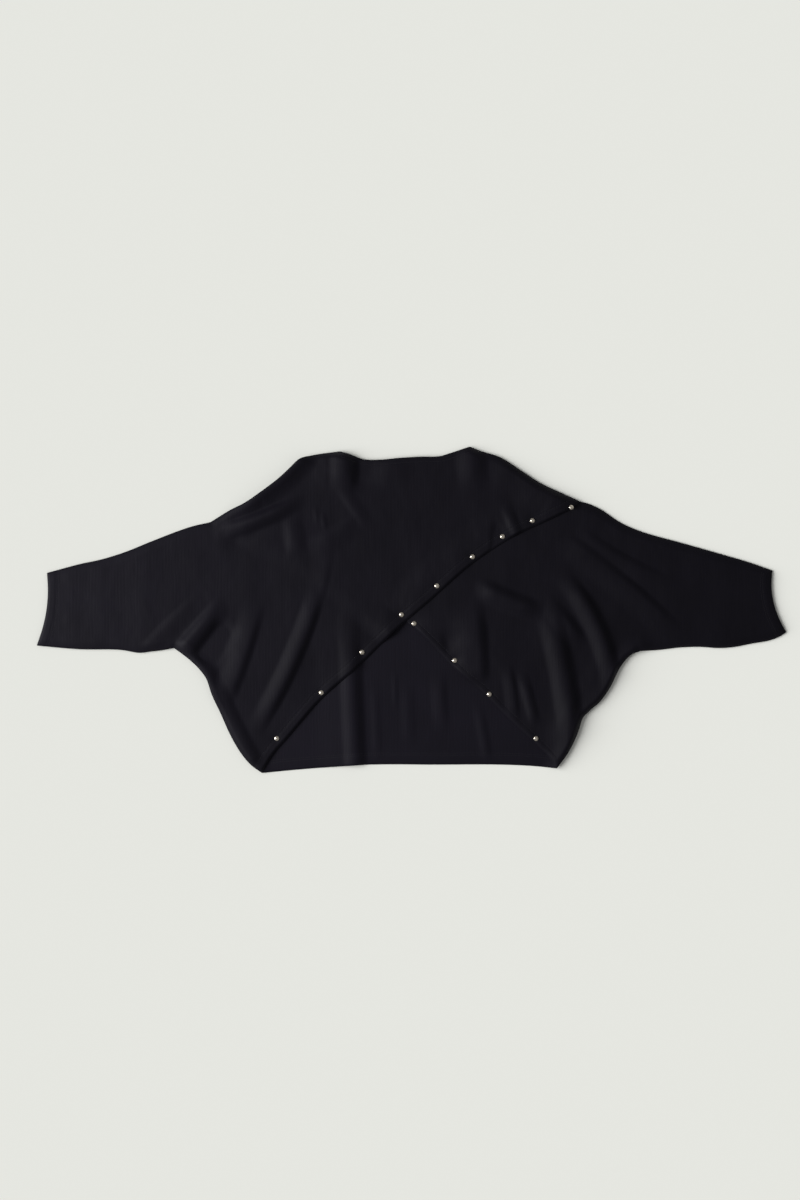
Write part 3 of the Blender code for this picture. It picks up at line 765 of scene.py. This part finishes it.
def inset_line(line, inward, inset):
    """A line moved sideways into the cloth."""
    run = np.gradient(line, axis=0)
    run = run / np.linalg.norm(run, axis=1)[:, None]
    side = np.stack([-run[:, 1], run[:, 0]], axis=1)
    return line + inward * inset * side


def places_along(line, spacing):
    """Points an even spacing apart along a line."""
    steps = np.linalg.norm(np.diff(line, axis=0), axis=1)
    reached = np.concatenate([[0.0], np.cumsum(steps)])
    at = np.arange(spacing, reached[-1] - spacing, spacing)
    return np.stack([np.interp(at, reached, line[:, 0]), np.interp(at, reached, line[:, 1])], axis=1)


def add_stitch(shape, start, end, thread):
    """One stitch between two points on the cloth: a slim rounded lozenge of few faces."""
    run = end - start
    side = run.cross(Vector((0.0, 0.0, 1.0))).normalized()
    out = side.cross(run).normalized()
    middle = (start + end) / 2
    turned = Matrix((run / 2, side * thread / 2, out * thread * 0.4)).transposed().to_4x4()
    bmesh.ops.create_icosphere(
        shape, subdivisions=1, radius=1.0, matrix=Matrix.Translation(middle) @ turned,
    )


def make_stitches(name, cloth, turnings, settings):
    """The rows of stitches along a panel's turned edges."""
    shape = bmesh.new()
    share = 0.5 * settings.length / settings.spacing
    for turning in turnings:
        rows = [
            places_along(inset_line(turning.edge, turning.inward, row), settings.spacing / MM)
            for row in turning.rows
        ]
        for row in rows:
            for before, after in zip(row[:-1], row[1:]):
                middle, half = (before + after) / 2, (after - before) * share
                places = (middle - half, middle + half)
                ends = [cloth_below(cloth, *(place * MM), 0.0) for place in places]
                if min(ends[0].z, ends[1].z) > 0.0:
                    add_stitch(shape, *ends, settings.thread)
    return finish_piece(name, shape, black_polyester_thread(settings))


def add_node(tree, kind, settings=None, inputs=None):
    """Adds a node, sets its own settings, and sets or links its sockets."""
    node = tree.nodes.new(kind)
    for name, value in (settings or {}).items():
        setattr(node, name, value)
    for name, value in (inputs or {}).items():
        if isinstance(value, bpy.types.NodeSocket):
            tree.links.new(value, node.inputs[name])
        else:
            node.inputs[name].default_value = value
    return node


def new_material(name, colour):
    """An empty node material, its surface shader and its tree."""
    material = bpy.data.materials.get(name)
    if material:
        return material, None, None
    material = bpy.data.materials.new(name)
    material.use_nodes = True
    material.diffuse_color = colour
    tree = material.node_tree
    return material, tree, tree.nodes["Principled BSDF"]


def dress_panel(name, x, y, low, turnings, rim, cloth, material):
    """A panel on its underside low, with its turned edges and its rolled rim."""
    wall = cloth.wall / MM
    high = wall_top(x, y, low, wall) + turned_height(turnings, x, y)
    high = high - rolled(rim, wall, x, y)
    return make_panel(name, x, y, low, high, material)


def black_viscose_jersey(cloth, name, lightness):
    """Black viscose jersey, knitted with soft vertical ribs and left matt. The eye gets a deep
    cool black whose ribs and nap catch a thin violet-grey light on every slope that faces it."""
    material, tree, shader = new_material(name, cloth.colour)
    if tree is None:
        return material
    place = add_node(tree, "ShaderNodeTexCoord").outputs["Object"]
    # Uneven streaks some 2 to 5 mm wide and 50 mm long, where the knit's columns bunch.
    long_way = add_node(tree, "ShaderNodeMapping", None, {
        "Vector": place, "Scale": (1.0, cloth.streak_width / cloth.streak_length, 1.0),
    }).outputs["Vector"]
    streaks = add_node(tree, "ShaderNodeTexNoise", None, {
        "Vector": long_way, "Scale": 1.0 / cloth.streak_width, "Detail": 2.0, "Roughness": 0.5,
        "Distortion": 0.3,
    }).outputs["Fac"]
    # Wave's bands repeat every pi / 10 / scale metres.
    ribs = add_node(tree, "ShaderNodeTexWave", {"bands_direction": "X"}, {
        "Vector": place, "Scale": math.pi / 10 / cloth.rib_pitch, "Distortion": 5.0,
        "Detail": 2.0, "Detail Scale": 0.3, "Detail Roughness": 0.6,
    }).outputs["Fac"]
    # The knit's loops are about 1.2 mm apart, and drawn as a grain of 2.4 mm to show.
    loops = add_node(tree, "ShaderNodeTexNoise", None, {
        "Vector": place, "Scale": 420.0, "Detail": 2.0, "Roughness": 0.6,
    }).outputs["Fac"]
    patches = add_node(tree, "ShaderNodeTexNoise", None, {
        "Vector": place, "Scale": 14.0, "Detail": 2.0, "Roughness": 0.5,
    }).outputs["Fac"]
    fine = add_node(tree, "ShaderNodeMath", {"operation": "MULTIPLY_ADD"}, {
        0: ribs, 1: 0.2, 2: streaks,
    })
    height = add_node(tree, "ShaderNodeMath", {"operation": "MULTIPLY_ADD"}, {
        0: loops, 1: 0.8, 2: fine.outputs[0],
    })
    bump = add_node(tree, "ShaderNodeBump", None, {
        "Height": height.outputs[0], "Strength": 0.5, "Distance": 0.0003,
    })
    tone = add_node(tree, "ShaderNodeMath", {"operation": "MULTIPLY_ADD"}, {
        0: streaks, 1: 0.5, 2: patches,
    })
    # lightness scales the dyed colour; the back's value above 1 is partly painted light, partly its
    # wrong side's own duller tone.
    shade = add_node(tree, "ShaderNodeMapRange", None, {
        "Value": tone.outputs[0], "From Min": 0.45, "From Max": 1.05,
        "To Min": 0.85 * lightness, "To Max": 1.15 * lightness,
    })
    dye = add_node(tree, "ShaderNodeVectorMath", {"operation": "SCALE"}, {
        0: cloth.colour[:3], "Scale": shade.outputs[0],
    })
    tree.links.new(dye.outputs[0], shader.inputs["Base Color"])
    tree.links.new(bump.outputs[0], shader.inputs["Normal"])
    shader.inputs["Roughness"].default_value = 0.62
    shader.inputs["Specular IOR Level"].default_value = 0.11
    shader.inputs["Sheen Weight"].default_value = 0.02
    shader.inputs["Sheen Roughness"].default_value = 0.5
    shader.inputs["Sheen Tint"].default_value = cloth.nap_colour
    return material


def jersey_right_side(cloth):
    """The smooth right side of the black viscose jersey, which the fronts show."""
    return black_viscose_jersey(cloth, "black_viscose_jersey_right_side", 1.0)


def jersey_wrong_side(cloth):
    """The wrong side of the black viscose jersey, which the back shows. Its loops lie open, and its
    black is drawn lighter than the right side's: partly that side's own duller tone, partly painted
    light that brightens the back where it shows between the fronts."""
    return black_viscose_jersey(cloth, "black_viscose_jersey_wrong_side", cloth.wrong_side_and_painted_light)


def black_polyester_thread(settings):
    """Black polyester sewing thread, spun and slightly glossy, so each stitch shows as a fine
    dash a little lighter than the jersey."""
    material, tree, shader = new_material("black_polyester_thread_spun", settings.colour)
    if tree is None:
        return material
    place = add_node(tree, "ShaderNodeTexCoord").outputs["Object"]
    # Two plies, twisted about every 1.1 mm.
    twist = add_node(tree, "ShaderNodeTexWave", {"bands_direction": "DIAGONAL"}, {
        "Vector": place, "Scale": math.pi / 10 / 0.0011, "Distortion": 0.5,
    })
    bump = add_node(tree, "ShaderNodeBump", None, {
        "Height": twist.outputs["Fac"], "Strength": 0.4, "Distance": 0.0001,
    })
    tree.links.new(bump.outputs[0], shader.inputs["Normal"])
    shader.inputs["Base Color"].default_value = settings.colour
    shader.inputs["Roughness"].default_value = 0.55
    shader.inputs["Specular IOR Level"].default_value = 0.3
    return material


def nickel_plated_brass(settings):
    """Nickel-plated brass, pressed into a dome and polished: a pale, slightly warm mirror with
    one crisp highlight and fine rubbing marks."""
    material, tree, shader = new_material("nickel_plated_brass_polished", settings.colour)
    if tree is None:
        return material
    place = add_node(tree, "ShaderNodeTexCoord").outputs["Object"]
    # Rubbing marks about half a millimetre across.
    marks = add_node(tree, "ShaderNodeTexNoise", None, {
        "Vector": place, "Scale": 1900.0, "Detail": 3.0, "Roughness": 0.65,
    }).outputs["Fac"]
    gloss = add_node(tree, "ShaderNodeMapRange", None, {
        "Value": marks, "From Min": 0.35, "From Max": 0.75, "To Min": 0.14, "To Max": 0.32,
    })
    bump = add_node(tree, "ShaderNodeBump", None, {
        "Height": marks, "Strength": 0.15, "Distance": 0.00005,
    })
    tree.links.new(gloss.outputs[0], shader.inputs["Roughness"])
    tree.links.new(bump.outputs[0], shader.inputs["Normal"])
    shader.inputs["Base Color"].default_value = settings.colour
    shader.inputs["Metallic"].default_value = 1.0
    return material


def matt_paper_floor(settings):
    """A floor of matt paper, plain and pale."""
    material, tree, shader = new_material("matt_paper_floor", settings.floor_colour)
    if tree is None:
        return material
    shader.inputs["Base Color"].default_value = settings.floor_colour
    shader.inputs["Roughness"].default_value = 0.9
    shader.inputs["Specular IOR Level"].default_value = 0.1
    return material


def add_light(light, place, lit):
    """Sets up a light that faces the middle of the floor and lights only the objects in lit."""
    lamp = bpy.data.objects.new(light.name, light)
    lamp.location = place
    lamp.rotation_euler = place.to_track_quat("Z", "Y").to_euler()
    bpy.context.scene.collection.objects.link(lamp)
    group = bpy.data.collections.new(f"lit_by_{light.name}")
    for item in lit:
        group.objects.link(item)
    lamp.light_linking.receiver_collection = group


class SWEATER_OT_back(bpy.types.Operator):
    """Makes the back, with both halves of the sleeves, and the stitches of its hem"""

    bl_idname = "sweater.back"
    bl_label = "Back"

    def execute(self, context):
        cloth = context.scene.sweater_cloth
        x, y = panel_grid(BACK_SECTIONS, BACK_BOTTOM, back_top_edge,
                          BACK_CELL_SHARE * cloth.cell / MM, cloth.rows - BACK_ROWS_LESS)
        panel = dress_panel("back_jersey", x, y, back_underside(x, y), BACK_TURNINGS, BACK_RIM,
                            cloth, jersey_wrong_side(cloth))
        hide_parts("back")
        stitches = make_stitches("back_hem_stitches", cloth_tree(panel), BACK_TURNINGS,
                                 context.scene.sweater_stitch)
        return {"FINISHED"}


class SWEATER_OT_front_under(bpy.types.Operator):
    """Makes the under front, which shows on the right, and the stitches of its turned edges"""

    bl_idname = "sweater.front_under"
    bl_label = "Under front"

    def execute(self, context):
        cloth = context.scene.sweater_cloth
        x, y = panel_grid(UNDER_SECTIONS, UNDER_BOTTOM, under_top_edge, cloth.cell / MM, cloth.rows)
        panel = dress_panel("front_under_jersey", x, y, under_underside(x, y, cloth),
                            UNDER_TURNINGS, UNDER_RIM, cloth, jersey_right_side(cloth))
        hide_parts("front_under")
        stitches = make_stitches("front_under_stitches", cloth_tree(panel), UNDER_TURNINGS,
                                 context.scene.sweater_stitch)
        return {"FINISHED"}


class SWEATER_OT_front_wrap(bpy.types.Operator):
    """Makes the wrap front, which lies on the under front, and the stitches of its turned edges"""

    bl_idname = "sweater.front_wrap"
    bl_label = "Wrap front"

    def execute(self, context):
        cloth = context.scene.sweater_cloth
        x, y = panel_grid(WRAP_SECTIONS, WRAP_BOTTOM, wrap_top_edge, cloth.cell / MM, cloth.rows)
        panel = dress_panel("front_wrap_jersey", x, y, wrap_underside(x, y, cloth),
                            WRAP_TURNINGS, WRAP_RIM, cloth, jersey_right_side(cloth))
        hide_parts("front_wrap")
        stitches = make_stitches("front_wrap_stitches", cloth_tree(panel), WRAP_TURNINGS,
                                 context.scene.sweater_stitch)
        return {"FINISHED"}


class SWEATER_OT_studs(bpy.types.Operator):
    """Makes the domed studs along both bare edges"""

    bl_idname = "sweater.studs"
    bl_label = "Studs"

    def execute(self, context):
        settings = context.scene.sweater_stud
        metal = nickel_plated_brass(settings)
        rows = (
            ("wrap", "front_wrap_jersey", WRAP_STUDS),
            ("under", "front_under_jersey", UNDER_STUDS),
        )
        for row, panel, places in rows:
            cloth = cloth_tree(bpy.data.objects[panel])
            for number, (x, y) in enumerate(places, start=1):
                seat, out = stud_seat(cloth, x, y, settings.radius)
                make_stud(f"{row}_cap_{number}", f"{row}_stud_{number}", seat, out, settings, metal)
        return {"FINISHED"}


class SWEATER_OT_stage(bpy.types.Operator):
    """Makes the floor, the lights and the camera"""

    bl_idname = "sweater.stage"
    bl_label = "Stage"

    def execute(self, context):
        scene = context.scene
        settings = scene.sweater_stage
        shape = bmesh.new()
        bmesh.ops.create_grid(shape, x_segments=1, y_segments=1, size=FLOOR_HALF_WIDTH)
        bmesh.ops.translate(shape, verts=shape.verts, vec=(0.0, 0.0, -FLOOR_DROP * MM))
        mesh = bpy.data.meshes.new("floor")
        shape.to_mesh(mesh)
        shape.free()
        mesh.materials.append(matt_paper_floor(settings))
        floor = bpy.data.objects.new("floor", mesh)
        scene.collection.objects.link(floor)

        towards = Vector((-math.cos(settings.key_height), 0.0, math.sin(settings.key_height)))
        light = bpy.data.lights.new("floor_light", "SUN")
        light.energy = settings.key
        light.angle = settings.key_size
        add_light(light, towards * FLOOR_LIGHT_AWAY, [floor])
        light = bpy.data.lights.new("side_light", "AREA")
        light.shape = "DISK"
        light.size = settings.side_size
        light.energy = settings.side
        garment = [item for item in scene.objects if item.type == "MESH" and item != floor]
        add_light(light, Vector(settings.side_place), garment)

        world = bpy.data.worlds.new("studio")
        world.use_nodes = True
        sky = world.node_tree.nodes["Background"]
        sky.inputs["Color"].default_value = (1.0, 1.0, 1.0, 1.0)
        sky.inputs["Strength"].default_value = settings.fill
        scene.world = world
        scene.view_settings.view_transform = "Standard"

        camera = bpy.data.cameras.new("camera")
        camera.lens = settings.lens
        camera.sensor_width = SENSOR_WIDTH
        away = IMAGE_HEIGHT * camera.lens / camera.sensor_width
        camera.clip_end = FARTHEST_SEEN
        view = bpy.data.objects.new("camera", camera)
        view.location = (*IMAGE_MIDDLE, CLOTH_LEVEL + away)
        scene.collection.objects.link(view)
        scene.camera = view
        return {"FINISHED"}


class SWEATER_PT_panel(bpy.types.Panel):
    bl_label = "Wrap sweater"
    bl_space_type = "VIEW_3D"
    bl_region_type = "UI"
    bl_category = "Sweater"

    def draw(self, context):
        scene = context.scene
        groups = (
            (scene.sweater_cloth, ("back", "front_under", "front_wrap")),
            (scene.sweater_stitch, ()),
            (scene.sweater_stud, ("studs",)),
            (scene.sweater_stage, ("stage",)),
        )
        for settings, operators in groups:
            box = self.layout.box()
            for name in settings.__annotations__:
                box.prop(settings, name)
            for name in operators:
                box.operator(f"sweater.{name}")


CLASSES = (
    ClothSettings, StitchSettings, StudSettings, StageSettings,
    SWEATER_OT_back, SWEATER_OT_front_under, SWEATER_OT_front_wrap, SWEATER_OT_studs,
    SWEATER_OT_stage, SWEATER_PT_panel,
)
SETTINGS = {
    "sweater_cloth": ClothSettings, "sweater_stitch": StitchSettings,
    "sweater_stud": StudSettings, "sweater_stage": StageSettings,
}


def register():
    for item in CLASSES:
        bpy.utils.register_class(item)
    for name, kind in SETTINGS.items():
        setattr(bpy.types.Scene, name, PointerProperty(type=kind))


def unregister():
    for name in SETTINGS:
        delattr(bpy.types.Scene, name)
    for item in reversed(CLASSES):
        bpy.utils.unregister_class(item)


def main():
    register()
    bpy.ops.sweater.back()
    bpy.ops.sweater.front_under()
    bpy.ops.sweater.front_wrap()
    bpy.ops.sweater.studs()
    bpy.ops.sweater.stage()


if __name__ == "__main__":
    main()
